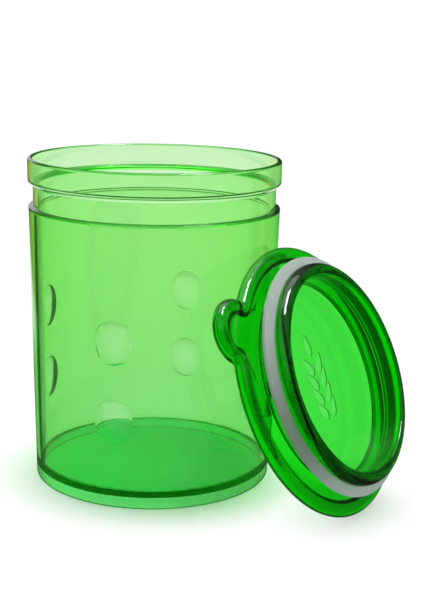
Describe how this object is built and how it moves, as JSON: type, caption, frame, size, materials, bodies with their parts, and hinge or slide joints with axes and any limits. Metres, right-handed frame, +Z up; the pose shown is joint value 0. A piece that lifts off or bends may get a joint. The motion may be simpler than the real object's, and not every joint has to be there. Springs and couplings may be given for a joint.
{
  "type": "dry goods storage canister",
  "caption": "Clear green round canister with a recessed neck band and finger dimples; its plug lid, with pull tab and soft seal, is off and leans against the wall.",
  "frame": {"origin": "centre of the canister's foot ring, on the surface it stands on", "axes": "+Z up along the canister's axis, -Y towards the viewer of the picture, +X to the right"},
  "size_m": [0.1673, 0.1453, 0.1415],
  "materials": {
    "canister_plastic": "clear green, polished",
    "lid_plastic": "clear green, polished",
    "gasket_silicone": "satin"
  },
  "bodies": {
    "canister": {"canister": "canister_plastic"},
    "lid": {"lid": "lid_plastic", "gasket": "gasket_silicone"}
  },
  "joints": [
    {"name": "lid_lift", "type": "slide", "parent": "canister", "child": "lid", "axis": [0.7597, -0.5124, 0.4004], "range_m": [0, 0.12]}
  ]
}
